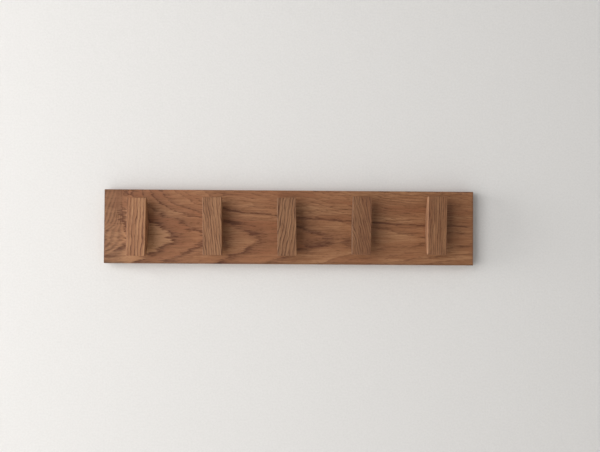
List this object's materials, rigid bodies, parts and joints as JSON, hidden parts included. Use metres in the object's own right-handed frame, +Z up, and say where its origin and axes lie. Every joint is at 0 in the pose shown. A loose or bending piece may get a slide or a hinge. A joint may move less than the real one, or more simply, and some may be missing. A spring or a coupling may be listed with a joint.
{
  "type": "wall hook rack",
  "caption": "Long flat oak board carrying a row of short upright oak bars with flat fronts and rounded backs; coat loops drop in behind each bar.",
  "frame": {"origin": "centre of the board's back face, which lies flat on the wall", "axes": "+Z up, +X along the board to the right as seen from the room, +Y into the wall, so the hooks stand out towards -Y"},
  "size_m": [0.5, 0.0432, 0.1],
  "materials": {
    "board_oak": "flat-sawn oak with a thin matt oil finish, grain along the board",
    "hook_oak": "oak with a thin matt oil finish, grain upright",
    "plate_steel": "zinc-plated pressed steel, satin",
    "screw_steel": "yellow zinc-plated steel, satin"
  },
  "bodies": {
    "root": {"back_board": "board_oak", "hook_1": "hook_oak", "hook_2": "hook_oak", "hook_3": "hook_oak", "hook_4": "hook_oak", "hook_5": "hook_oak", "left_hanger_plate": "plate_steel", "right_hanger_plate": "plate_steel", "hook_1_upper_screw": "screw_steel", "hook_1_lower_screw": "screw_steel", "hook_2_upper_screw": "screw_steel", "hook_2_lower_screw": "screw_steel", "hook_3_upper_screw": "screw_steel", "hook_3_lower_screw": "screw_steel", "hook_4_upper_screw": "screw_steel", "hook_4_lower_screw": "screw_steel", "hook_5_upper_screw": "screw_steel", "hook_5_lower_screw": "screw_steel", "left_hanger_upper_screw": "screw_steel", "left_hanger_lower_screw": "screw_steel", "right_hanger_upper_screw": "screw_steel", "right_hanger_lower_screw": "screw_steel"}
  },
  "joints": []
}
